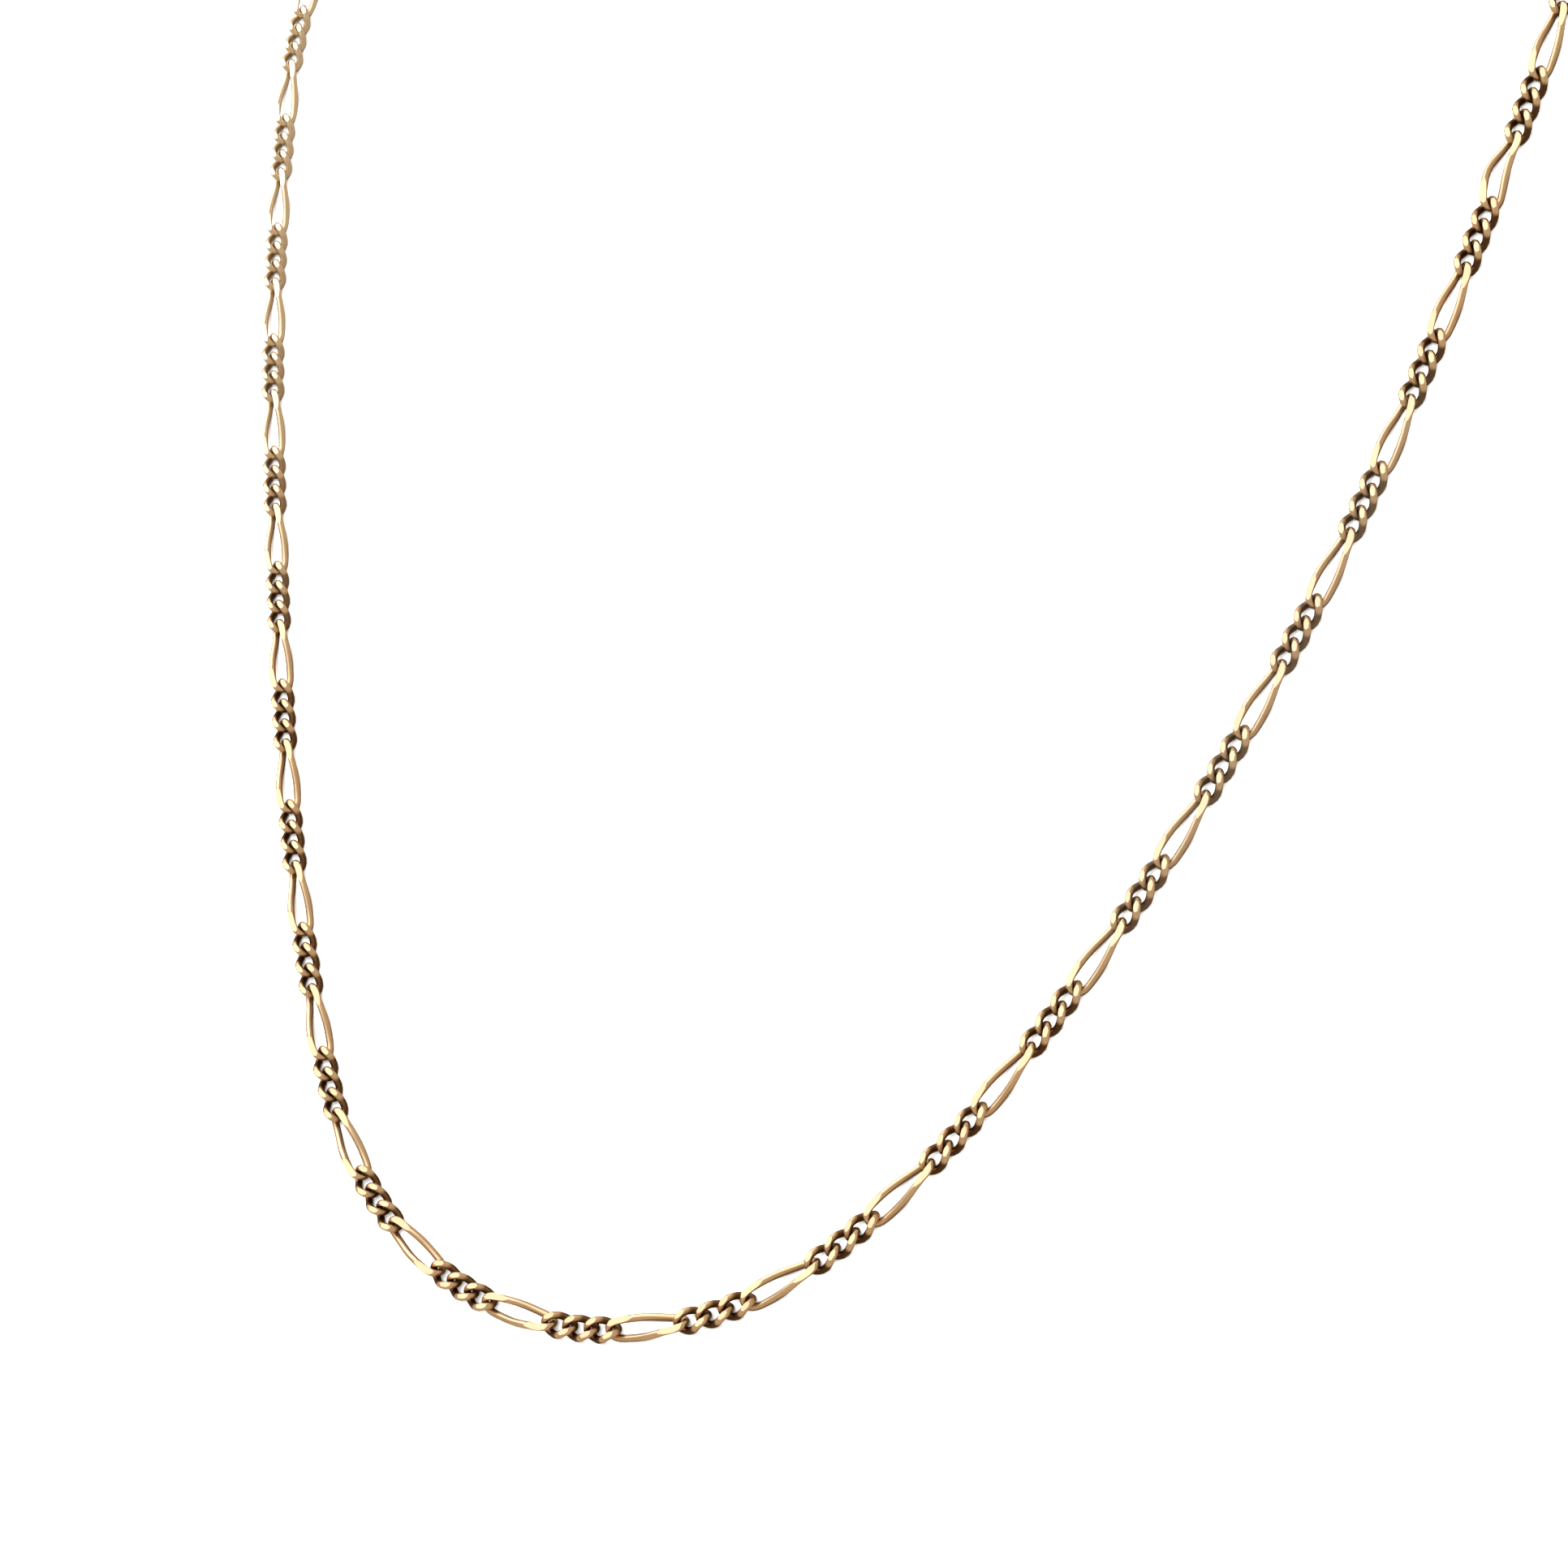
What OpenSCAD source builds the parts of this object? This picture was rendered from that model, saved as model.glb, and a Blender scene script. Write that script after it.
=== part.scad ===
// A fine figaro chain, closed into a neck loop and lying flat on z = 0.
// The pattern is one long oval link and three short ones. Every link is twisted
// about its own length, so its two ends lean opposite ways, and its front and its
// back are filed flat. Seen from above the loop starts at the clasp, runs left, goes
// down the left strand, round the foot of the U and up the right strand.
// Units are millimetres.

/* [Pattern] */
// Repeats of the pattern in the whole loop
repeats = 39; // [37:1:39]
// Inner length of a short link
short_in = 2.05; // [2.05:0.01:2.12]
// Inner length of a long link
long_in = 5.93; // [5.7:0.01:6.1]
// Slack in each joint between two links
play = 0.12; // [0.1:0.01:0.13]

/* [Links] */
// Diameter of the drawn wire
wire_d = 0.57; // [0.5:0.01:0.58]
// Half width of a short link, to the middle of its wire
short_half = 0.78; // [0.77:0.01:0.82]
// Half width of a long link, to the middle of its wire
long_half = 0.77; // [0.76:0.01:0.82]
// Lean of each end of a short link
short_twist = 44; // [42:1:48]
// Lean of each end of a long link
long_twist = 44; // [42:1:46]
// Height of the filed faces above and below the middle of the chain
flat = 0.57; // [0.57:0.01:0.62]

/* [Lay] */
// Sideways bow of the one bent long link, on the right strand
bow = 0.4; // [0:0.1:0.5]
// Turn of the bend on each side of the clasp, in degrees
crown_turn = 35; // [32:1:38]

/* [Clasp] */
// Length of the clasp plate
plate_l = 6.4; // [5.6:0.1:8]
// Width of the clasp plate
plate_w = 2.6; // [2.4:0.1:3]
// Mean radius of the soldered end eyes
eye_r = 0.74; // [0.73:0.01:0.75]
// Radius of the wire of the end eyes
eye_wire = 0.18; // [0.16:0.01:0.18]
// Lean of the end eyes
eye_lean = 31; // [30:1:31]

/* [Hidden] */
// Corners round a link, and round its wire
stations = 10;
sides = 5;
// The corners of the wire stand a little outside its true round
corner_d = 1.06 * wire_d;
// Corners round one end of a link: past the centre of the end and across, in half widths
end_corners = [
    [0.42, -1],
    [1, -0.53],
    [1, 0.53],
    [0.42, 1],
];
links = 4 * repeats;
// The link that is bent, and the long link that stands at the start of the U
bent_link = 120;
first_link = 32;
// How far along the U the middle of that link stands, in repeats
lead = 0.053;

repeat_l = 3 * short_in + long_in - 4 * play;
// From the middle of the clasp to the middle of an eye, and to its inside
eye_at = plate_l / 2 + eye_r - eye_wire;
clasp_half = eye_at + eye_r - eye_wire;
first_joint = clasp_half - play;
loop_l = 2 * first_joint + repeats * repeat_l;

// Joints are counted from the clasp. Link i reaches from joint i to joint i + 1.
function is_long(i) = i % 4 == 0;
function joint(i) = first_joint + i * (short_in - play)
    + floor((i + 3) / 4) * (long_in - short_in);

// The U, from the top of the left strand to the top of the right one: each row is a
// stretch of even bend, with its length in repeats and its left turn in degrees
u_rows = [
    [3, 7],
    [3, 2.8],
    [2.5, 8],
    [1.5, 28.3],
    [3.5, 78.7],
    [1.5, 14.2],
    [2, 7],
    [3, 9.6],
    [3, 4.6],
];
start_heading = 281.5;
end_heading = start_heading + sum_turn(u_rows, len(u_rows));

function sum_turn(rows, n) = n == 0 ? 0 : sum_turn(rows, n - 1) + rows[n - 1][1];
function sum_length(rows, n) = n == 0 ? 0 : sum_length(rows, n - 1) + rows[n - 1][0];

// Straight way covered for each unit of length of an even bend
function chord(heading, turn) =
    (turn == 0 ? 1 : sin(turn / 2) / (turn / 2 * PI / 180))
    * [cos(heading + turn / 2), sin(heading + turn / 2)];
// Point reached after the first n rows
function reach(rows, heading, n) = n == 0 ? [0, 0] :
    reach(rows, heading, n - 1)
    + rows[n - 1][0] * chord(heading + sum_turn(rows, n - 1), rows[n - 1][1]);
function cross2(a, b) = a[0] * b[1] - a[1] * b[0];

// Above the U: a crown bend and a shoulder bend on each side of the clasp, with the
// lengths that close the loop
left_l = (joint(first_link) + joint(first_link + 1)) / 2 - lead * repeat_l;
right_l = loop_l - left_l - repeat_l * sum_length(u_rows, len(u_rows));
left_turn = start_heading - 180 - crown_turn;
right_turn = 540 - end_heading - crown_turn;
left_crown = chord(180, crown_turn);
left_shoulder = chord(180 + crown_turn, left_turn);
right_shoulder = chord(end_heading, right_turn);
right_crown = chord(540 - crown_turn, crown_turn);
u_span = repeat_l * reach(u_rows, start_heading, len(u_rows));
rest = -(left_l * left_shoulder + right_l * right_shoulder + u_span);
left_gain = left_crown - left_shoulder;
right_gain = right_crown - right_shoulder;
left_crown_l = cross2(rest, right_gain) / cross2(left_gain, right_gain);
right_crown_l = cross2(left_gain, rest) / cross2(left_gain, right_gain);

// The whole loop: length in millimetres, left turn in degrees
rows = concat(
    [[left_crown_l, crown_turn], [left_l - left_crown_l, left_turn]],
    [for (row = u_rows) [row[0] * repeat_l, row[1]]],
    [[right_l - right_crown_l, right_turn], [right_crown_l, crown_turn]]);
row_start = [for (k = [0 : len(rows) - 1]) sum_length(rows, k)];
row_heading = [for (k = [0 : len(rows) - 1]) 180 + sum_turn(rows, k)];
row_point = [for (k = [0 : len(rows) - 1]) reach(rows, 180, k)];

// Point of the loop at a distance from the clasp's middle
function route(s) =
    let (k = max([for (n = [0 : len(rows) - 1]) if (row_start[n] <= s) n]))
    let (d = s - row_start[k])
    row_point[k] + d * chord(row_heading[k], rows[k][1] * d / rows[k][0]);

// A station of an untwisted link: one halfway along each limb, four round each end
function oval(n, reach_x, half) =
    n % 5 == 0 ? [0, n == 0 ? -half : half] :
    (n < 5 ? 1 : -1) * ([reach_x - half, 0] + half * end_corners[n % 5 - 1]);
// Lean of the link where it stands that far along its length
function lean_at(x, reach_x, twist) = twist * sin(90 * x / reach_x);
// A station of the twisted centre line
function twisted(n, reach_x, half, twist, sag) =
    let (p = oval((n + stations) % stations, reach_x, half))
    let (lean = lean_at(p[0], reach_x, twist))
    [p[0], p[1] * cos(lean) + sag * pow(cos(90 * p[0] / reach_x), 2), -p[1] * sin(lean)];
function unit(v) = v / norm(v);

// The corners of one link, ring by ring, with its front and back filed flat
function link_points(i) =
    let (half = is_long(i) ? long_half : short_half)
    let (twist = is_long(i) ? long_twist : short_twist)
    let (reach_x = ((is_long(i) ? long_in : short_in) + wire_d) / 2)
    let (sag = i == bent_link ? bow : 0)
    let (a = route(joint(i)), b = route(joint(i + 1)))
    let (middle = (a + b) / 2, along = unit(b - a))
    [for (n = [0 : stations - 1])
        let (c = twisted(n, reach_x, half, twist, sag))
        let (t = unit(twisted(n + 1, reach_x, half, twist, sag)
            - twisted(n - 1, reach_x, half, twist, sag)))
        let (lean = lean_at(c[0], reach_x, twist))
        let (up = unit(cross(cross(t, [0, sin(lean), cos(lean)]), t)))
        let (out = cross(t, up))
        for (m = [0 : sides - 1])
            let (q = c - corner_d / 2 * (cos(360 * m / sides) * out
                + sin(360 * m / sides) * up))
            [middle[0] + q[0] * along[0] - q[1] * along[1],
             middle[1] + q[0] * along[1] + q[1] * along[0],
             max(-flat, min(flat, q[2])) + flat]];

// The triangles of one link, each four corners split along their shorter diagonal
function link_faces(points, base) =
    [for (n = [0 : stations - 1], m = [0 : sides - 1])
        let (a = n * sides + m, b = n * sides + (m + 1) % sides)
        let (c = (n + 1) % stations * sides + (m + 1) % sides)
        let (d = (n + 1) % stations * sides + m)
        each norm(points[a] - points[c]) <= norm(points[b] - points[d])
            ? [[a, b, c] + base * [1, 1, 1], [a, c, d] + base * [1, 1, 1]]
            : [[a, b, d] + base * [1, 1, 1], [b, c, d] + base * [1, 1, 1]]];

// A run of interlocking links, each a closed loose ring
module run(from, to) {
    rings = [for (i = [from : to]) link_points(i)];
    polyhedron(
        points = [for (ring = rings) each ring],
        faces = [for (k = [0 : to - from]) each link_faces(rings[k], k * stations * sides)],
        convexity = 10);
}

// Half of the chain, from the clasp down the left strand
module chain_left() {
    color("#b97a4b") run(0, links / 2 - 1);
}

// Half of the chain, from the foot up the right strand to the clasp
module chain_right() {
    color("#b97a4b") run(links / 2, links - 1);
}

// One soldered eye, standing off the end of the plate and leaning like a link's end
module eye(side) {
    translate([side * eye_at, 0, flat])
        rotate([-side * eye_lean, 0, 0])
        rotate_extrude($fn = 48)
        translate([eye_r, 0])
        circle(r = eye_wire, $fn = 24);
}

// The plain clasp plate with an eye soldered on each end, all one piece
module clasp() {
    color("#b97a4b") {
        linear_extrude(height = 2 * flat) {
            square([plate_l - plate_w, plate_w], center = true);
            for (side = [-1, 1])
                translate([side * (plate_l - plate_w) / 2, 0])
                circle(d = plate_w, $fn = 64);
        }
        eye(1);
        eye(-1);
    }
}

chain_left();
chain_right();
clasp();
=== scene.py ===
"""A fine figaro chain in rose-yellow gold, closed into a neck loop and lying flat.

The links are drawn from round wire, twisted and filed flat, and laid along the same
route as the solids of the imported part. Sizes are in millimetres until a piece is laid.
FLAT is half the height of the filed chain, NEAR is how close two places count as one,
and LEVEL is how far up or down a face points to count as level.
"""

import logging
import math
import random
from collections.abc import Callable
from dataclasses import dataclass, field, replace
from enum import Enum
from typing import ClassVar

import bmesh
import bpy
from mathutils import Matrix, Vector


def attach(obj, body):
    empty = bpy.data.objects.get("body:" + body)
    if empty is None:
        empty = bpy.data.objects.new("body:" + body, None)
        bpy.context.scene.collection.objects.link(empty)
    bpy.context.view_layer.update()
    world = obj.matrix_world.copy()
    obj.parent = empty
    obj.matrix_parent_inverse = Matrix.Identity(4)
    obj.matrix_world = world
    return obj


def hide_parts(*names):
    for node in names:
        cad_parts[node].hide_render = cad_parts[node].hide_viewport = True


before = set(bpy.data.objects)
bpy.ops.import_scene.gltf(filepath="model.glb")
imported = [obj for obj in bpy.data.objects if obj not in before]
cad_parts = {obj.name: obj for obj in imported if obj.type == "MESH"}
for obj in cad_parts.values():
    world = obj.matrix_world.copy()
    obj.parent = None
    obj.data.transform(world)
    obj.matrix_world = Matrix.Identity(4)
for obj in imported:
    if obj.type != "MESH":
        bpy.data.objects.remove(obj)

LOG = logging.getLogger("figaro_chain")
MM = 0.001
NEAR = 1e-4
LEVEL = 0.999
FLAT = 0.57

Place = tuple[float, float, float]
Colour = tuple[float, float, float]
Span = tuple[float, float]
Socket = bpy.types.NodeSocket


class LinkKind(Enum):
    """The links that the pattern is made of."""

    SHORT = "short"
    LONG = "long"
    BENT = "bent"


class Side(Enum):
    """The two halves of the loop, by the strand that they hold."""

    LEFT = "left"
    RIGHT = "right"


class Element(Enum):
    """What is picked of a mesh in edit mode."""

    VERTEX = "VERT"
    EDGE = "EDGE"
    FACE = "FACE"


class Sum(Enum):
    """Ways of working out one value from two in a material."""

    ADD = "ADD"
    SUBTRACT = "SUBTRACT"
    MULTIPLY = "MULTIPLY"


class Cover(Enum):
    """Ways of laying one colour over another in a material."""

    HIDE = "MIX"
    DARKEN = "MULTIPLY"


# Small helpers for working as by hand

def deselect_all() -> None:
    """Leaves edit mode and lets go of every object."""
    if bpy.context.object and bpy.context.object.mode != "OBJECT":
        bpy.ops.object.mode_set(mode="OBJECT")
    bpy.ops.object.select_all(action="DESELECT")


def take(*objects: bpy.types.Object) -> None:
    """Selects these objects alone and makes the first one active.

    Args:
        objects: The objects to select.
    """
    deselect_all()
    for item in objects:
        item.select_set(True)
    bpy.context.view_layer.objects.active = objects[0]


def pick(obj: bpy.types.Object, test: Callable[..., bool],
         kind: Element = Element.VERTEX) -> None:
    """Selects the vertices, edges or faces of the object in edit mode that pass a test.

    Args:
        obj: The object in edit mode.
        test: Takes one vertex, edge or face and says whether it is picked.
        kind: Which of the three is picked.
    """
    bpy.ops.mesh.select_mode(type=kind.value)
    bpy.ops.mesh.select_all(action="DESELECT")
    work = bmesh.from_edit_mesh(obj.data)
    items = {Element.VERTEX: work.verts, Element.EDGE: work.edges,
             Element.FACE: work.faces}[kind]
    for item in [item for item in items if test(item)]:
        item.select_set(True)
    work.select_flush_mode()
    bmesh.update_edit_mesh(obj.data)


def soft_step(start: float, end: float, value: float) -> float:
    """Goes softly from 0 at the start to 1 at the end."""
    part = max(0.0, min(1.0, (value - start) / (end - start)))
    return part * part * (3 - 2 * part)


# The route and the pattern

@dataclass(frozen=True)
class Pattern:
    """One long link and three short ones, repeated round the loop."""

    repeats: int = 39
    short_in: float = 2.05
    long_in: float = 5.93
    play: float = 0.12
    first_joint: float = 4.2
    bent_link: int = 120
    first_link: int = 32

    @property
    def links(self) -> int:
        """Number of links in the loop."""
        return 4 * self.repeats

    @property
    def repeat(self) -> float:
        """Length of one repeat."""
        return 3 * self.short_in + self.long_in - 4 * self.play

    @property
    def loop(self) -> float:
        """Length of the loop, clasp and all."""
        return 2 * self.first_joint + self.repeats * self.repeat

    def kind(self, index: int) -> LinkKind:
        """Finds the kind of a link.

        Args:
            index: The link, counted from the clasp.

        Returns:
            Its kind.
        """
        if index == self.bent_link:
            return LinkKind.BENT
        return LinkKind.LONG if index % 4 == 0 else LinkKind.SHORT

    def joint(self, index: int) -> float:
        """Distance from the clasp's middle at which a link begins."""
        return (self.first_joint + index * (self.short_in - self.play)
                + (index + 3) // 4 * (self.long_in - self.short_in))


@dataclass
class Route:
    """The line of even bends that the loop lies on.

    The u_rows go down the left strand, round the foot and up the right strand, each
    with its length in repeats and its left turn in degrees. The crown and shoulder
    bends above them take the lengths that close the loop.
    """

    pattern: Pattern
    u_rows: tuple[Span, ...] = (
        (3, 7), (3, 2.8), (2.5, 8), (1.5, 28.3), (3.5, 78.7),
        (1.5, 14.2), (2, 7), (3, 9.6), (3, 4.6))
    start_heading: float = 281.5
    crown_turn: float = 35.0
    lead: float = 0.053
    rows: list[Span] = field(init=False)

    def __post_init__(self) -> None:
        """Finds the lengths of the bends beside the clasp."""
        pattern = self.pattern
        first = pattern.first_link
        end_heading = self.start_heading + sum(turn for _, turn in self.u_rows)
        left = (pattern.joint(first) + pattern.joint(first + 1)) / 2 - self.lead * pattern.repeat
        right = pattern.loop - left - pattern.repeat * sum(length for length, _ in self.u_rows)
        left_turn = self.start_heading - 180 - self.crown_turn
        right_turn = 540 - end_heading - self.crown_turn
        left_crown = self.chord(180, self.crown_turn)
        left_shoulder = self.chord(180 + self.crown_turn, left_turn)
        right_shoulder = self.chord(end_heading, right_turn)
        right_crown = self.chord(540 - self.crown_turn, self.crown_turn)
        span = Vector((0, 0))
        heading = self.start_heading
        for length, turn in self.u_rows:
            span += length * pattern.repeat * self.chord(heading, turn)
            heading += turn
        rest = -(left * left_shoulder + right * right_shoulder + span)
        left_gain = left_crown - left_shoulder
        right_gain = right_crown - right_shoulder
        whole = left_gain.cross(right_gain)
        left_crown_l = rest.cross(right_gain) / whole
        right_crown_l = left_gain.cross(rest) / whole
        self.rows = [(left_crown_l, self.crown_turn), (left - left_crown_l, left_turn)]
        self.rows += [(length * pattern.repeat, turn) for length, turn in self.u_rows]
        self.rows += [(right - right_crown_l, right_turn), (right_crown_l, self.crown_turn)]

    @staticmethod
    def chord(heading: float, turn: float) -> Vector:
        """Finds the straight way covered for each unit of length of an even bend.

        Args:
            heading: Heading at the start of the bend, in degrees.
            turn: Left turn over the whole bend, in degrees.

        Returns:
            The straight way, in plan.
        """
        half = math.radians(turn / 2)
        way = math.radians(heading) + half
        return (math.sin(half) / half if half else 1.0) * Vector((math.cos(way), math.sin(way)))

    def point(self, distance: float) -> Vector:
        """Finds a point of the loop.

        Args:
            distance: Way along the loop from the clasp's middle.

        Returns:
            The point, in plan.
        """
        here = Vector((0, 0))
        heading = 180.0
        for length, turn in self.rows[:-1]:
            if distance <= length:
                break
            here += length * self.chord(heading, turn)
            heading += turn
            distance -= length
        else:
            length, turn = self.rows[-1]
        return here + distance * self.chord(heading, turn * distance / length)


# The links

@dataclass
class Link:
    """One link of drawn wire: an oval ring, twisted along its length and filed flat.

    The dark spans say where painted shade and grime begin and are full: DARK_LOW by height in the
    link, DARK_REAR by place along it, DARK_SIDE and DARK_INSIDE by how far the wire faces into
    the ring. Each of them is measured from -1 to 1.
    """

    DARK_LOW: ClassVar[Span] = (0.35, -0.25)
    DARK_REAR: ClassVar[Span] = (0.2, -0.25)
    DARK_SIDE: ClassVar[Span] = (-0.4, 0.4)
    DARK_INSIDE: ClassVar[Span] = (0.0, 0.9)

    kind: LinkKind
    inner: float
    half: float
    twist: float
    wire: float = 0.6
    flat: float = FLAT
    bow: float = 0.0
    end_stretch: float = 1.4
    end_steps: int = 10
    limb_cuts: int = 1
    wire_rings: int = 3
    # Shares of painted shade with some grime: low down in the link, on its outward-facing front,
    # and inside the ring.
    low_grime_shade: float = 1.0
    outer_grime_shade: float = 0.75
    inner_grime_shade: float = 0.45

    @property
    def reach(self) -> float:
        """From the middle of the link to the middle of the wire at its end."""
        return (self.inner + self.wire) / 2

    @property
    def straight(self) -> float:
        """Half the length of the limbs, between the round ends."""
        return self.reach - self.half * self.end_stretch

    def lean(self, x: float) -> float:
        """Lean of the link at a place along its length, in radians."""
        return math.radians(self.twist) * math.sin(math.pi / 2 * x / self.reach)

    def build(self) -> bpy.types.Object:
        """Makes the link about its own middle, in millimetres.

        Returns:
            The link, with crisp filed faces and smooth wire.
        """
        link = self.draw_ring()
        self.turn_ring(link)
        link = self.draw_wire(link)
        self.file_flat(link)
        self.mark_grime_and_shade(link)
        return link

    def draw_ring(self) -> bpy.types.Object:
        """Draws the flat oval line of the wire's middle.

        Returns:
            A closed line of vertices.
        """
        deselect_all()
        bpy.ops.mesh.primitive_circle_add(vertices=2 * self.end_steps, radius=self.half)
        ring = bpy.context.object
        ring.name = f"{self.kind.value}_link"
        bpy.ops.object.mode_set(mode="EDIT")
        pick(ring, lambda v: v.co.x < -NEAR)
        bpy.ops.mesh.delete(type="VERT")
        bpy.ops.mesh.select_all(action="SELECT")
        bpy.ops.transform.resize(value=(self.end_stretch, 1, 1), center_override=(0, 0, 0))
        bpy.ops.transform.translate(value=(self.straight, 0, 0))
        bpy.ops.mesh.duplicate()
        bpy.ops.transform.rotate(value=math.pi, orient_axis="Z", center_override=(0, 0, 0))
        for side in (-1, 1):
            pick(ring, lambda v: len(v.link_edges) == 1 and v.co.y * side > 0)
            bpy.ops.mesh.edge_face_add()
        limb = 2 * self.straight - NEAR
        pick(ring, lambda e: abs(e.verts[0].co.x - e.verts[1].co.x) > limb, Element.EDGE)
        bpy.ops.mesh.subdivide(number_cuts=self.limb_cuts)
        return ring

    def turn_ring(self, ring: bpy.types.Object) -> None:
        """Twists the oval about its length, and bows it where the kind is bent.

        Args:
            ring: The flat oval, in edit mode.
        """
        work = bmesh.from_edit_mesh(ring.data)
        places = sorted({round(v.co.x, 4) for v in work.verts})
        for x in places:
            pick(ring, lambda v: abs(v.co.x - x) < 2 * NEAR)
            bpy.ops.transform.rotate(
                value=self.lean(x), orient_axis="X", center_override=(0, 0, 0))
            if self.bow:
                sag = self.bow * math.cos(math.pi / 2 * x / self.reach) ** 2
                bpy.ops.transform.translate(value=(0, sag, 0))
        bpy.ops.object.mode_set(mode="OBJECT")

    def draw_wire(self, ring: bpy.types.Object) -> bpy.types.Object:
        """Gives the line its round wire.

        Args:
            ring: The twisted line.

        Returns:
            The link as a closed mesh.
        """
        take(ring)
        bpy.ops.object.convert(target="CURVE")
        curve = bpy.context.object
        curve.data.dimensions = "3D"
        curve.data.bevel_depth = self.wire / 2
        curve.data.bevel_resolution = self.wire_rings
        bpy.ops.object.convert(target="MESH")
        return bpy.context.object

    def file_flat(self, link: bpy.types.Object) -> None:
        """Files the front and the back of the link flat, with crisp edges.

        Args:
            link: The link of round wire.
        """
        take(link)
        bpy.ops.object.shade_smooth()
        bpy.ops.object.mode_set(mode="EDIT")
        bpy.ops.mesh.select_all(action="SELECT")
        bpy.ops.mesh.remove_doubles(threshold=NEAR)
        bpy.ops.mesh.normals_make_consistent(inside=False)
        for side in (-1, 1):
            bpy.ops.mesh.select_mode(type="VERT")
            bpy.ops.mesh.select_all(action="SELECT")
            bpy.ops.mesh.bisect(plane_co=(0, 0, side * self.flat), plane_no=(0, 0, side),
                                use_fill=True, clear_outer=True, threshold=NEAR / 10)
            pick(link, lambda f: f.normal.z * side > LEVEL
                 and abs(f.calc_center_median().z - side * self.flat) < 10 * NEAR, Element.FACE)
            bpy.ops.mesh.region_to_loop()
            bpy.ops.mesh.mark_sharp()
        bpy.ops.object.mode_set(mode="OBJECT")

    def mark_grime_and_shade(self, link: bpy.types.Object) -> None:
        """Marks where the metal is painted dark as shade, with some grime: low down and inside
        the ring, where neighbouring links shadow it.

        Args:
            link: The filed link, still in millimetres about its own middle.
        """
        tallest = self.half * math.sin(self.lean(self.reach))
        values = []
        for vertex in link.data.vertices:
            x, y = vertex.co.xy
            outward = Vector((x - max(-self.straight, min(self.straight, x)), y)).normalized()
            inward = -outward.dot(vertex.normal.xy)
            low = soft_step(*self.DARK_LOW, -y * math.sin(self.lean(x)) / tallest)
            rear = soft_step(*self.DARK_REAR, x / self.reach)
            side = soft_step(*self.DARK_SIDE, inward)
            front = self.outer_grime_shade + (1 - self.outer_grime_shade) * side
            inside = soft_step(*self.DARK_INSIDE, inward)
            # Painted shade with some grime: darker where the link lies low, most at its rear, and
            # where the wire faces into the ring.
            values.append(min(1.0, self.low_grime_shade * low * (rear + (1 - rear) * front)
                              + self.inner_grime_shade * inside))
        grime_and_shade = link.data.attributes.new("grime_and_shade", "FLOAT", "POINT")
        grime_and_shade.data.foreach_set("value", values)


@dataclass
class ChainHalf:
    """Half of the loop: a run of loose links, each through the next."""

    side: Side
    first: int
    last: int
    pattern: Pattern
    route: Route
    roll: float = 1.0
    yaw: float = 0.5
    flat: float = FLAT
    seed: int = 7

    @property
    def name(self) -> str:
        """Name of the piece."""
        return f"{self.side.value}_links"

    @property
    def node(self) -> str:
        """Name of the solid that the piece stands for."""
        return f"chain_{self.side.value}"

    def place(self, index: int, chance: random.Random) -> Matrix:
        """Finds where a link lies, with the small play of a loose link.

        Args:
            index: The link, counted from the clasp.
            chance: Source of the small turns.

        Returns:
            The link's place, still in millimetres.
        """
        start = self.route.point(self.pattern.joint(index))
        end = self.route.point(self.pattern.joint(index + 1))
        middle = (start + end) / 2
        along = (end - start).normalized()
        heading = math.atan2(along.y, along.x) + math.radians(chance.uniform(-self.yaw, self.yaw))
        roll = math.radians(chance.uniform(-self.roll, self.roll))
        return (Matrix.Translation((middle.x, middle.y, self.flat))
                @ Matrix.Rotation(heading, 4, "Z") @ Matrix.Rotation(roll, 4, "X"))

    def build(self, masters: dict[LinkKind, bpy.types.Object]) -> bpy.types.Object:
        """Lays copies of the links along the route and joins them.

        Args:
            masters: One finished link of each kind.

        Returns:
            The run of links as one piece.
        """
        chance = random.Random(self.seed)
        copies = []
        for index in range(self.first, self.last + 1):
            master = masters[self.pattern.kind(index)]
            copy = master.copy()
            copy.data = master.data.copy()
            bpy.context.scene.collection.objects.link(copy)
            copy.data.transform(self.place(index, chance))
            lowest = min(v.co.z for v in copy.data.vertices)
            copy.data.transform(Matrix.Scale(MM, 4) @ Matrix.Translation((0, 0, -lowest)))
            tone = copy.data.attributes.new("tone", "FLOAT", "POINT")
            value = chance.random()
            tone.data.foreach_set("value", [value] * len(copy.data.vertices))
            copies.append(copy)
        take(*copies)
        bpy.ops.object.join()
        piece = bpy.context.object
        piece.name = self.name
        piece.data.name = self.name
        return piece

    def dress(self, piece: bpy.types.Object, finish: bpy.types.Material) -> None:
        """Gives the piece its gold and ties it to the part.

        Args:
            piece: The run of links.
            finish: The gold of the links.
        """
        piece.data.materials.clear()
        piece.data.materials.append(finish)
        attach(piece, "root")
        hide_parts(self.node)


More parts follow.
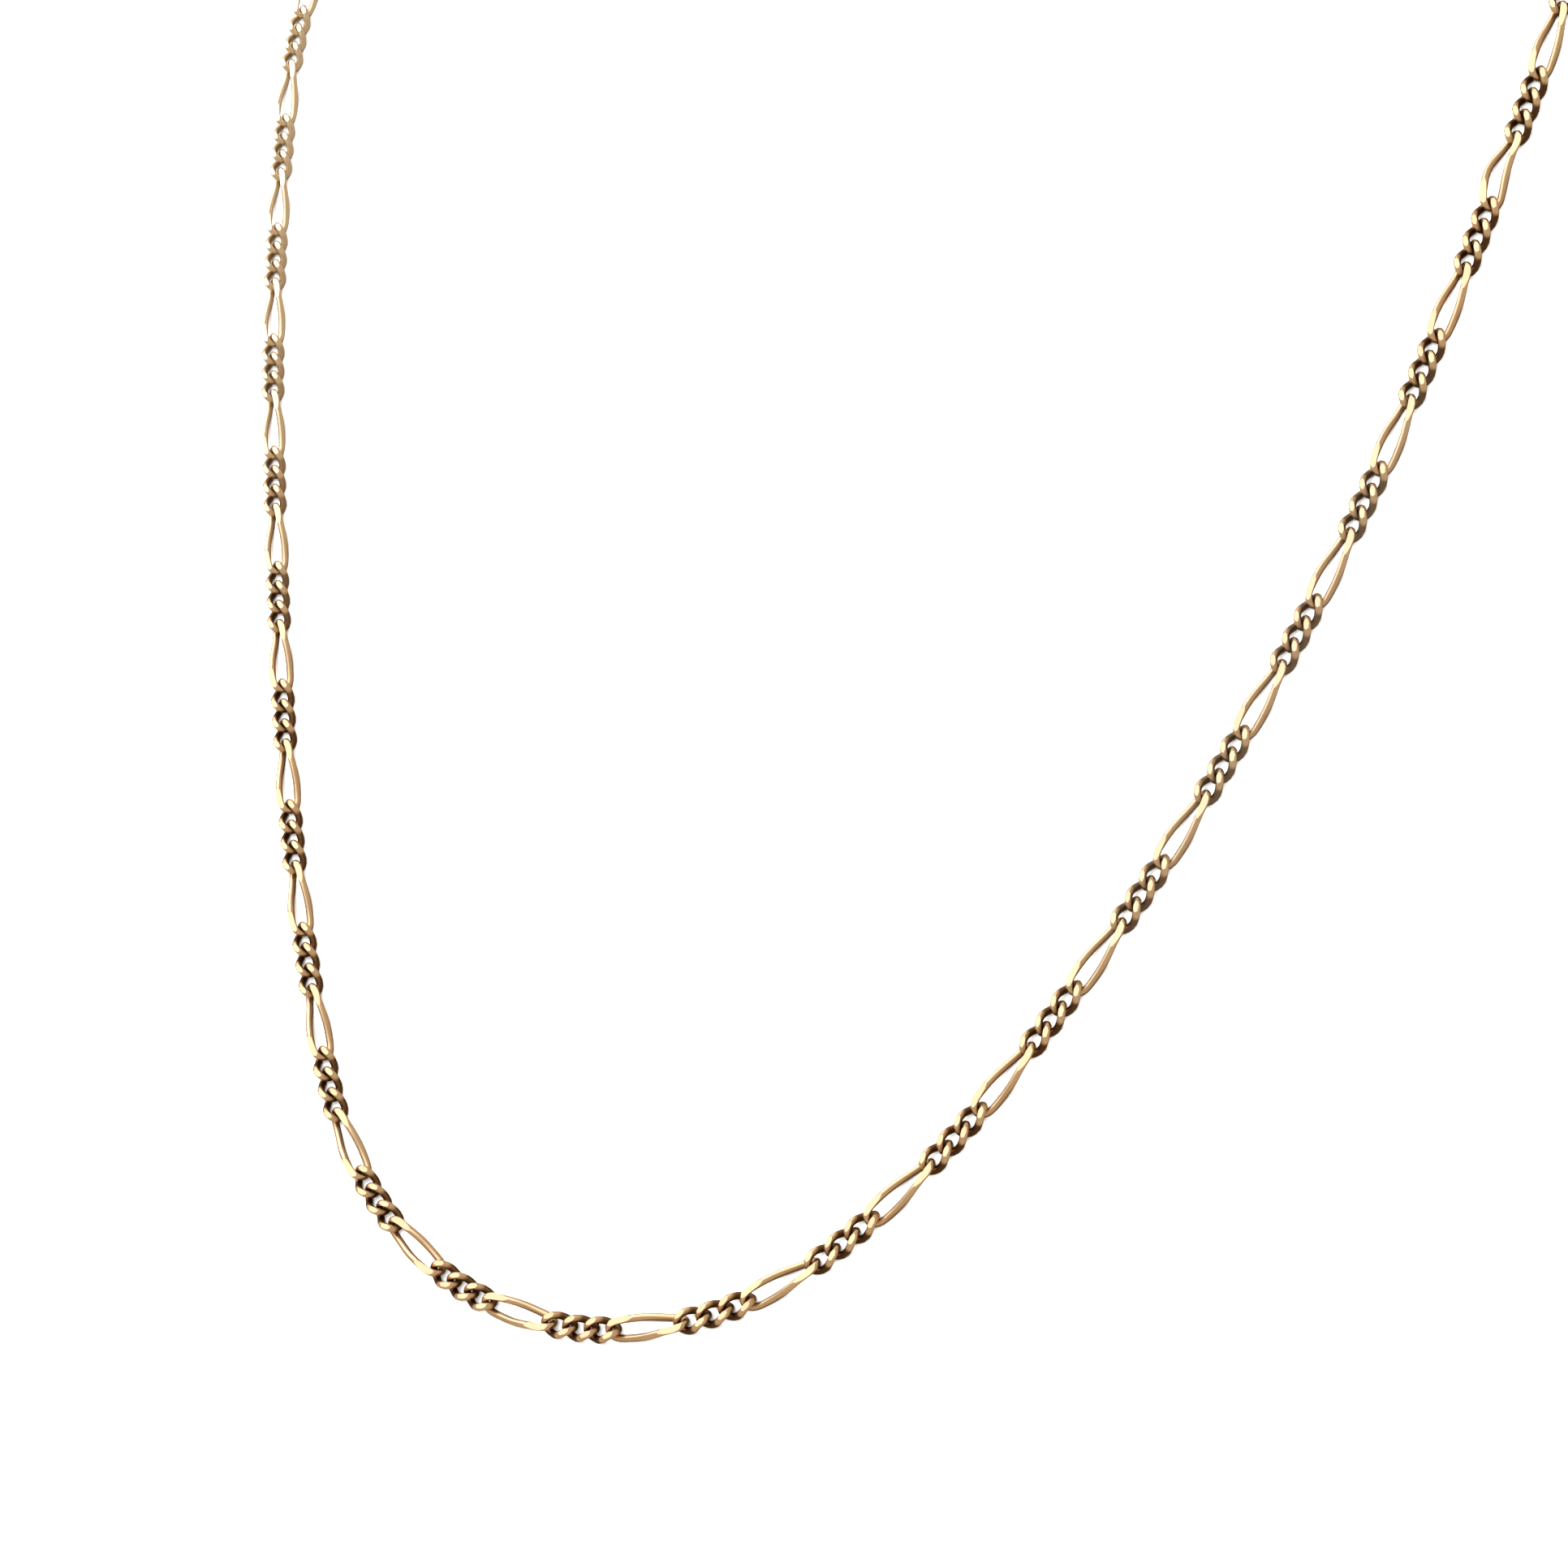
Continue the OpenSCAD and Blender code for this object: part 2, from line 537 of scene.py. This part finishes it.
@dataclass
class Clasp:
    """The plain clasp: one rounded plate with an eye soldered on each end."""

    length: float = 6.4
    width: float = 2.6
    height: float = 2 * FLAT
    edge: float = 0.22
    corner_cuts: int = 14
    edge_cuts: int = 4
    seam: float = 0.001
    smooth_below: float = 40.0
    eye_at: float = 3.76
    eye_r: float = 0.74
    eye_wire: float = 0.18
    eye_lean: float = 31.0
    eye_cuts: tuple[int, int] = (36, 14)

    def build(self) -> bpy.types.Object:
        """Makes the plate and its two eyes as one closed piece.

        Returns:
            The clasp, in metres, at its place.
        """
        plate = self.build_plate()
        for side in (-1, 1):
            eye = self.build_eye(side)
            take(plate)
            union = plate.modifiers.new("solder", "BOOLEAN")
            union.operation = "UNION"
            union.solver = "EXACT"
            union.object = eye
            bpy.ops.object.modifier_apply(modifier=union.name)
            bpy.data.objects.remove(eye)
        plate.data.transform(Matrix.Scale(MM, 4))
        take(plate)
        bpy.ops.object.shade_smooth_by_angle(angle=math.radians(self.smooth_below))
        return plate

    def build_plate(self) -> bpy.types.Object:
        """Makes the plate: a block with round ends and softened rims.

        Returns:
            The plate, in millimetres.
        """
        deselect_all()
        bpy.ops.mesh.primitive_cube_add(size=1, location=(0, 0, self.height / 2))
        plate = bpy.context.object
        plate.name = "clasp_plate"
        plate.scale = (self.length, self.width, self.height)
        bpy.ops.object.transform_apply(location=True, rotation=False, scale=True)
        bpy.ops.object.mode_set(mode="EDIT")
        pick(plate, lambda e: abs(e.verts[0].co.z - e.verts[1].co.z) > NEAR, Element.EDGE)
        bpy.ops.mesh.bevel(offset=self.width / 2 - self.seam, segments=self.corner_cuts,
                           affect="EDGES")
        bpy.ops.mesh.select_all(action="SELECT")
        bpy.ops.mesh.remove_doubles(threshold=10 * self.seam)
        pick(plate, lambda f: abs(f.normal.z) > LEVEL, Element.FACE)
        bpy.ops.mesh.region_to_loop()
        bpy.ops.mesh.bevel(offset=self.edge, segments=self.edge_cuts, affect="EDGES")
        bpy.ops.object.mode_set(mode="OBJECT")
        return plate

    def build_eye(self, side: int) -> bpy.types.Object:
        """Makes one eye, a leaning round ring.

        Args:
            side: -1 for the left end, 1 for the right end.

        Returns:
            The eye, in millimetres.
        """
        deselect_all()
        bpy.ops.mesh.primitive_torus_add(
            major_radius=self.eye_r, minor_radius=self.eye_wire,
            major_segments=self.eye_cuts[0], minor_segments=self.eye_cuts[1],
            location=(side * self.eye_at, 0, self.height / 2),
            rotation=(math.radians(-side * self.eye_lean), 0, 0))
        eye = bpy.context.object
        bpy.ops.object.transform_apply(location=True, rotation=True, scale=True)
        return eye

    def dress(self, piece: bpy.types.Object, finish: bpy.types.Material) -> None:
        """Gives the clasp its gold and ties it to the part.

        Args:
            piece: The clasp.
            finish: The gold of the clasp.
        """
        piece.data.materials.clear()
        piece.data.materials.append(finish)
        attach(piece, "root")
        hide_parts("clasp")


# The finishes

@dataclass(frozen=True)
class NodeBench:
    """Short ways of laying nodes in one tree."""

    tree: bpy.types.NodeTree

    def join(self, value: Socket, into: Socket) -> None:
        """Links one socket to another."""
        self.tree.links.new(value, into)

    def source(self, kind: str, output: str) -> Socket:
        """Adds a node that only gives a value."""
        return self.tree.nodes.new(kind).outputs[output]

    def attribute(self, name: str) -> Socket:
        """Reads a value that the mesh carries.

        Args:
            name: Name of the value.

        Returns:
            The value.
        """
        node = self.tree.nodes.new("ShaderNodeAttribute")
        node.attribute_name = name
        return node.outputs["Fac"]

    def split(self, vector: Socket) -> bpy.types.Node:
        """Splits a vector.

        Args:
            vector: The vector.

        Returns:
            The node with its X, Y and Z.
        """
        node = self.tree.nodes.new("ShaderNodeSeparateXYZ")
        self.join(vector, node.inputs[0])
        return node

    def maths(self, way: Sum, one: Socket | float, two: Socket | float) -> Socket:
        """Works out one value from two.

        Args:
            way: How the two are put together.
            one: A socket or a plain number.
            two: A socket or a plain number.

        Returns:
            The result.
        """
        node = self.tree.nodes.new("ShaderNodeMath")
        node.operation = way.value
        for value, into in zip((one, two), node.inputs):
            if isinstance(value, float):
                into.default_value = value
            else:
                self.join(value, into)
        return node.outputs[0]

    def blend(self, value: Socket, span: Span) -> Socket:
        """Goes softly from 0 to 1 as a value goes through a span.

        Args:
            value: The value.
            span: Where it is 0 and where it is 1.

        Returns:
            The soft step.
        """
        node = self.tree.nodes.new("ShaderNodeMapRange")
        node.interpolation_type = "SMOOTHSTEP"
        node.inputs["From Min"].default_value, node.inputs["From Max"].default_value = span
        self.join(value, node.inputs["Value"])
        return node.outputs["Result"]

    def noise(self, place: Socket, scale: float, detail: float) -> Socket:
        """Makes a soft random pattern.

        Args:
            place: Where the pattern is read.
            scale: Number of its cells in a metre.
            detail: Number of finer layers on it.

        Returns:
            The pattern, from 0 to 1.
        """
        node = self.tree.nodes.new("ShaderNodeTexNoise")
        node.inputs["Scale"].default_value = scale
        node.inputs["Detail"].default_value = detail
        self.join(place, node.inputs["Vector"])
        return node.outputs["Fac"]

    def tint(self, under: Socket | Colour, over: Colour, share: Socket,
             way: Cover = Cover.HIDE) -> Socket:
        """Lays one colour over another.

        Args:
            under: The colour below, a socket or a plain colour.
            over: The colour above.
            share: How much of it shows.
            way: Whether it hides or darkens the colour below.

        Returns:
            The colour of both together.
        """
        node = self.tree.nodes.new("ShaderNodeMix")
        node.data_type = "RGBA"
        node.blend_type = way.value
        if isinstance(under, tuple):
            node.inputs["A"].default_value = (*under, 1)
        else:
            self.join(under, node.inputs["A"])
        node.inputs["B"].default_value = (*over, 1)
        self.join(share, node.inputs["Factor"])
        return node.outputs["Result"]


@dataclass(frozen=True)
class TarnishShadeGroup:
    """Where the chain is dark: painted shade low down, on its steep sides and in the marked
    hollows of each link, grime in those hollows too, and soft patches of tone.

    The pale spans meet at the top of the left strand, where a painted bloom of light makes the
    gold paler and hazy, and the grey spans meet in the middle of the right strand, where painted
    cooler light greys it. They and the low span, which paints shade low down, are in metres. The
    steep and rubbed spans say how far the metal faces up: the steep span paints shade on the
    sides, and the rubbed span keeps the marked hollows off the level filed faces. A patch and a
    scratch have the scale and the detail of their pattern. The patches darken the gold where
    their pattern is above patch_middle, and brighten it below.
    """

    name: str = "Tarnish And Shade"
    low: Span = (0.00114, 0.0)
    steep: Span = (0.85, -0.1)
    rubbed: Span = (0.995, 0.9)
    patch: Span = (900.0, 3.0)
    patch_middle: float = 0.5
    scratch: Span = (7000.0, 2.0)
    pale_x: Span = (0.0, -0.03)
    pale_y: Span = (-0.125, -0.06)
    pale_bloom: float = 0.5
    grey_x: Span = (0.0, 0.02)
    grey_from: Span = (-0.145, -0.125)
    grey_to: Span = (-0.08, -0.1)

    def build(self) -> bpy.types.NodeTree:
        """Makes the shared node group.

        Returns:
            The group, with the outputs for tarnish with painted shade, painted bloom, painted
            cooler grey light and scratches.
        """
        tree = bpy.data.node_groups.new(self.name, "ShaderNodeTree")
        for way, labels in (("INPUT", ("Grime And Shade", "Low Side", "Steep Side", "Patches")),
                            ("OUTPUT", ("Tarnish And Shade", "Painted Bloom", "Grey", "Scratches"))):
            for label in labels:
                tree.interface.new_socket(label, in_out=way, socket_type="NodeSocketFloat")
        bench = NodeBench(tree)
        given = tree.nodes.new("NodeGroupInput").outputs
        result = tree.nodes.new("NodeGroupOutput").inputs
        spot = bench.source("ShaderNodeTexCoord", "Object")
        facing = bench.split(bench.source("ShaderNodeNewGeometry", "Normal")).outputs["Z"]
        place = bench.split(spot).outputs

        # The marked hollows of each link: painted shade with some grime, kept off the level filed
        # faces.
        grime_and_shade = bench.maths(Sum.MULTIPLY, bench.attribute("grime_and_shade"),
                            bench.blend(facing, self.rubbed))
        patch = bench.maths(Sum.SUBTRACT, bench.noise(spot, *self.patch), self.patch_middle)
        # Painted shade low down by height and on the steep sides, the marked hollows, and random
        # patches of tone, added up.
        parts = ((bench.blend(place["Z"], self.low), given["Low Side"]),
                 (bench.blend(facing, self.steep), given["Steep Side"]),
                 (grime_and_shade, given["Grime And Shade"]),
                 (patch, given["Patches"]))
        dark, *others = (bench.maths(Sum.MULTIPLY, part, share) for part, share in parts)
        for part in others:
            dark = bench.maths(Sum.ADD, dark, part)
        dark.node.use_clamp = True

        # Painted bloom: the top of the left strand is painted paler and hazier, as a wash of
        # light.
        painted_bloom = bench.maths(Sum.MULTIPLY, bench.blend(place["X"], self.pale_x),
                           bench.blend(place["Y"], self.pale_y))
        # Painted cooler light: the middle of the right strand is painted greyer.
        grey = bench.maths(Sum.MULTIPLY, bench.blend(place["Y"], self.grey_from),
                           bench.blend(place["Y"], self.grey_to))
        grey = bench.maths(Sum.MULTIPLY, bench.blend(place["X"], self.grey_x), grey)
        # The painted bloom also lifts part of the darkening there.
        bloom_lift = bench.maths(Sum.MULTIPLY, painted_bloom, self.pale_bloom)
        kept = bench.maths(Sum.SUBTRACT, 1.0, bloom_lift)
        bench.join(bench.maths(Sum.MULTIPLY, dark, kept), result["Tarnish And Shade"])
        bench.join(painted_bloom, result["Painted Bloom"])
        bench.join(grey, result["Grey"])
        bench.join(bench.noise(spot, *self.scratch), result["Scratches"])
        return tree


@dataclass(frozen=True)
class GoldFinish:
    """Worn rose-yellow gold, cream where it is polished and brown where it is tarnished, grimy or
    painted into shade.
    """

    name: str
    # From polished cream to near-black, as tarnish, grime and painted shade grow.
    tones: tuple[tuple[float, Colour], ...] = (
        (0.0, (0.93, 0.745, 0.495)),
        (0.3, (0.84, 0.63, 0.385)),
        (0.6, (0.53, 0.345, 0.175)),
        (0.85, (0.26, 0.152, 0.068)),
        (1.0, (0.125, 0.068, 0.027)))
    # Shares of the marked hollows (painted shade with grime), of painted shade low down and on
    # steep sides, and of random patches.
    grime_and_shade: float = 1.0
    low_side: float = 0.2
    steep_side: float = 0.52
    patches: float = 0.3
    blush: float = 0.5
    rose: Colour = (1.0, 0.84, 0.80)
    # Painted bloom of light on the top of the left strand: its share and its pale colour.
    painted_bloom: float = 0.55
    pale: Colour = (0.95, 0.90, 0.71)
    # Painted cooler light in the middle of the right strand: its share and its grey colour.
    greyed: float = 0.23
    grey: Colour = (0.68, 0.67, 0.58)
    polished: float = 0.24
    dull: float = 0.45
    scratches: float = 0.3
    scratch_depth: float = 0.000006

    def build(self, tarnish_and_shade: bpy.types.NodeTree) -> bpy.types.Material:
        """Makes the material.

        Args:
            tarnish_and_shade: The shared group that says where the gold is tarnished and where it
                is painted into shade.

        Returns:
            The finished gold.
        """
        material = bpy.data.materials.new(self.name)
        material.use_nodes = True
        bench = NodeBench(material.node_tree)
        nodes = material.node_tree.nodes
        shader = nodes["Principled BSDF"]
        shader.inputs["Metallic"].default_value = 1.0
        group = nodes.new("ShaderNodeGroup")
        group.node_tree = tarnish_and_shade
        group.inputs["Grime And Shade"].default_value = self.grime_and_shade
        group.inputs["Low Side"].default_value = self.low_side
        group.inputs["Steep Side"].default_value = self.steep_side
        group.inputs["Patches"].default_value = self.patches

        # The ramp turns the sum of tarnish and painted shade into colour; the same sum makes the
        # metal rougher.
        ramp = nodes.new("ShaderNodeValToRGB")
        steps = ramp.color_ramp.elements
        for step, (position, colour) in zip(steps, (self.tones[0], self.tones[-1])):
            step.position, step.color = position, (*colour, 1)
        for position, colour in self.tones[1:-1]:
            steps.new(position).color = (*colour, 1)
        bench.join(group.outputs["Tarnish And Shade"], ramp.inputs["Fac"])
        gold = ramp.outputs["Color"]
        # A random rose tone for each link, then the painted bloom and the painted cooler light.
        for mask, strength, colour, way in (
                (bench.attribute("tone"), self.blush, self.rose, Cover.DARKEN),
                (group.outputs["Painted Bloom"], self.painted_bloom, self.pale, Cover.HIDE),
                (group.outputs["Grey"], self.greyed, self.grey, Cover.HIDE)):
            gold = bench.tint(gold, colour, bench.maths(Sum.MULTIPLY, mask, strength), way)
        bench.join(gold, shader.inputs["Base Color"])

        gloss = nodes.new("ShaderNodeMapRange")
        gloss.inputs["To Min"].default_value = self.polished
        gloss.inputs["To Max"].default_value = self.dull
        bench.join(group.outputs["Tarnish And Shade"], gloss.inputs["Value"])
        bench.join(gloss.outputs["Result"], shader.inputs["Roughness"])

        bump = nodes.new("ShaderNodeBump")
        bump.inputs["Strength"].default_value = self.scratches
        bump.inputs["Distance"].default_value = self.scratch_depth
        bench.join(group.outputs["Scratches"], bump.inputs["Height"])
        bench.join(bump.outputs["Normal"], shader.inputs["Normal"])
        return material


@dataclass(frozen=True)
class FloorFinish:
    """A plain white table top, darker in the metal, that stays white to the horizon."""

    name: str = "white_top"
    colour: Colour = (0.92, 0.915, 0.90)
    in_metal: Colour = (0.20, 0.17, 0.14)
    roughness: float = 0.85
    sheen: float = 0.1
    middle: Place = (0.0, -0.09, 0.0)
    fade: Span = (0.3, 0.6)

    def build(self) -> bpy.types.Material:
        """Makes the material.

        Returns:
            The white finish.
        """
        material = bpy.data.materials.new(self.name)
        material.use_nodes = True
        bench = NodeBench(material.node_tree)
        nodes = material.node_tree.nodes
        shader = nodes["Principled BSDF"]
        seen = bench.source("ShaderNodeLightPath", "Is Camera Ray")
        bench.join(bench.tint(self.in_metal, self.colour, seen), shader.inputs["Base Color"])
        shader.inputs["Roughness"].default_value = self.roughness
        shader.inputs["Specular IOR Level"].default_value = self.sheen

        way = nodes.new("ShaderNodeVectorMath")
        way.operation = "DISTANCE"
        way.inputs[1].default_value = self.middle
        bench.join(bench.source("ShaderNodeTexCoord", "Object"), way.inputs[0])
        far = bench.maths(Sum.MULTIPLY, bench.blend(way.outputs["Value"], self.fade), seen)
        mixed = nodes.new("ShaderNodeMixShader")
        bench.join(far, mixed.inputs["Fac"])
        bench.join(shader.outputs["BSDF"], mixed.inputs[1])
        bench.join(bench.source("ShaderNodeEmission", "Emission"), mixed.inputs[2])
        bench.join(mixed.outputs["Shader"], nodes["Material Output"].inputs["Surface"])
        return material


# The studio

@dataclass
class Softbox:
    """A square soft light."""

    name: str
    place: Place
    size: float
    power: float
    seen_in_metal: bool = True
    target: Place = (0.0, -0.09, 0.0)

    def build(self) -> bpy.types.Object:
        """Hangs the light.

        Returns:
            The light.
        """
        deselect_all()
        way = Vector(self.target) - Vector(self.place)
        bpy.ops.object.light_add(type="AREA", location=self.place,
                                 rotation=way.to_track_quat("-Z", "Y").to_euler())
        lamp = bpy.context.object
        lamp.name = self.name
        lamp.data.shape = "SQUARE"
        lamp.data.size = self.size
        lamp.data.energy = self.power
        lamp.visible_glossy = self.seen_in_metal
        return lamp


@dataclass
class Studio:
    """The white top, the soft light and the camera."""

    eye: Place = (152.097, -211.757, 259.438)
    right: Place = (0.88049, 0.22369, -0.41798)
    up: Place = (-0.06991, 0.93331, 0.35221)
    back: Place = (0.46889, -0.28089, 0.8374)
    lens: float = 88.96
    sensor: float = 36.0
    clip: Span = (0.01, 10.0)
    room: Colour = (0.53, 0.435, 0.335)
    backdrop: Colour = (0.93, 0.93, 0.92)
    floor_size: float = 3.0
    floor_z: float = -0.00002
    softboxes: tuple[Softbox, ...] = (
        Softbox("ceiling_card", (-0.22, 0.10, 0.42), 0.66, 1.3),
        Softbox("window_card", (-0.50, 0.34, 0.20), 0.75, 1.9),
        Softbox("table_lamp", (-0.14, 0.05, 0.62), 0.55, 7.0, seen_in_metal=False),
        Softbox("fill_lamp", (0.26, -0.26, 0.50), 0.60, 4.5, seen_in_metal=False),
    )

    def build(self) -> None:
        """Sets up the whole studio."""
        self.build_camera()
        self.build_floor()
        self.build_air()
        for box in self.softboxes:
            box.build()

    def build_camera(self) -> bpy.types.Object:
        """Places the camera as the photograph was taken.

        Returns:
            The camera.
        """
        deselect_all()
        bpy.ops.object.camera_add()
        camera = bpy.context.object
        camera.name = "camera"
        turn = Matrix((self.right, self.up, self.back)).transposed()
        camera.matrix_world = Matrix.Translation(Vector(self.eye) * MM) @ turn.to_4x4()
        camera.data.sensor_width = self.sensor
        camera.data.lens = self.lens
        camera.data.clip_start, camera.data.clip_end = self.clip
        bpy.context.scene.camera = camera
        return camera

    def build_floor(self) -> bpy.types.Object:
        """Lays the white top under the chain.

        Returns:
            The floor.
        """
        deselect_all()
        bpy.ops.mesh.primitive_plane_add(size=self.floor_size, location=(0, 0, self.floor_z))
        floor = bpy.context.object
        floor.name = "floor"
        floor.data.materials.append(FloorFinish().build())
        return floor

    def build_air(self) -> None:
        """Sets the light of the room and the tone of the picture."""
        scene = bpy.context.scene
        world = bpy.data.worlds.new("room")
        scene.world = world
        world.use_nodes = True
        bench = NodeBench(world.node_tree)
        air = bench.tint(self.room, self.backdrop,
                         bench.source("ShaderNodeLightPath", "Is Camera Ray"))
        bench.join(air, world.node_tree.nodes["Background"].inputs["Color"])
        scene.view_settings.view_transform = "Standard"
        scene.view_settings.look = "None"


def main() -> None:
    """Builds the studio, the chain and the clasp."""
    logging.basicConfig(level=logging.INFO, format="%(name)s: %(message)s")
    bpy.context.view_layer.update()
    Studio().build()
    pattern = Pattern()
    route = Route(pattern)
    # One shared group paints the shade and lays the tarnish for both golds.
    tarnish_and_shade = TarnishShadeGroup().build()
    chain_gold = GoldFinish("chain_gold").build(tarnish_and_shade)
    # The clasp gold takes more painted shade low down and less on its steep sides than the chain
    # gold.
    clasp_gold = GoldFinish("clasp_gold", low_side=0.3, steep_side=0.4).build(tarnish_and_shade)

    short_link = Link(LinkKind.SHORT, inner=pattern.short_in, half=0.77, twist=43.0)
    # Long links take much less painted shade and grime in their hollows than short ones.
    long_link = Link(LinkKind.LONG, inner=pattern.long_in, half=0.76, twist=43.0, limb_cuts=6,
                     low_grime_shade=0.15, outer_grime_shade=0.0, inner_grime_shade=0.15)
    bent_link = replace(long_link, kind=LinkKind.BENT, bow=0.4)
    masters = {link.kind: link.build() for link in (short_link, long_link, bent_link)}
    half = pattern.links // 2
    for chain in (ChainHalf(Side.LEFT, 0, half - 1, pattern, route),
                  ChainHalf(Side.RIGHT, half, pattern.links - 1, pattern, route, seed=11)):
        piece = chain.build(masters)
        chain.dress(piece, chain_gold)
        LOG.info("%s: %d links, %d faces", piece.name, half, len(piece.data.polygons))
    for master in masters.values():
        bpy.data.objects.remove(master)

    clasp = Clasp()
    plate = clasp.build()
    clasp.dress(plate, clasp_gold)
    LOG.info("%s: %d faces", plate.name, len(plate.data.polygons))


if __name__ == "__main__":
    main()
